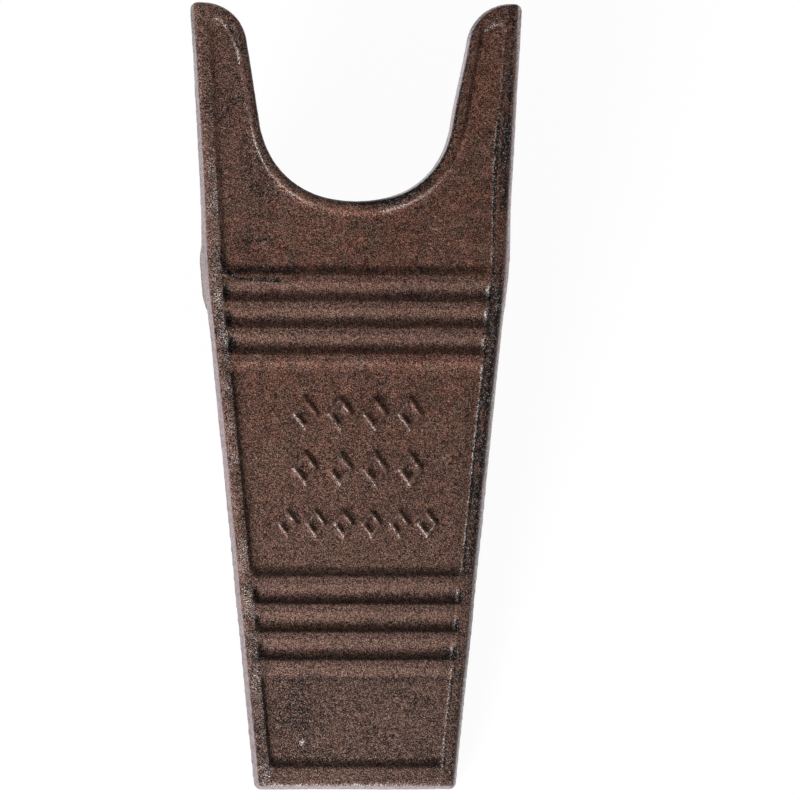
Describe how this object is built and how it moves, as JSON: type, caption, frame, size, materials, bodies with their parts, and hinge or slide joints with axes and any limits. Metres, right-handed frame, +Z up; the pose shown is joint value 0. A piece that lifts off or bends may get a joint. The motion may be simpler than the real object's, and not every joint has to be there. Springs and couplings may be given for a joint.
{
  "type": "boot jack",
  "caption": "Cast iron boot jack: a sloping plate with a U-shaped heel fork, sunk panels and grooves, standing on its tail and on bolted legs.",
  "frame": {"origin": "on the floor under the middle of the part's bounding box, as it stands on its tail and feet", "axes": "+Z up from the floor, +Y from the tail towards the heel fork, +X across the plate"},
  "size_m": [0.1186, 0.2754, 0.0597],
  "materials": {
    "antique_iron": "sand-cast grain under a reddish brown antique coat, with dark patina in the recesses",
    "screw_steel": "dull zinc plate"
  },
  "bodies": {
    "root": {"jack_plate": "antique_iron", "left_leg": "antique_iron", "right_leg": "antique_iron", "leg_screws": "screw_steel", "leg_washers": "screw_steel"}
  },
  "joints": []
}
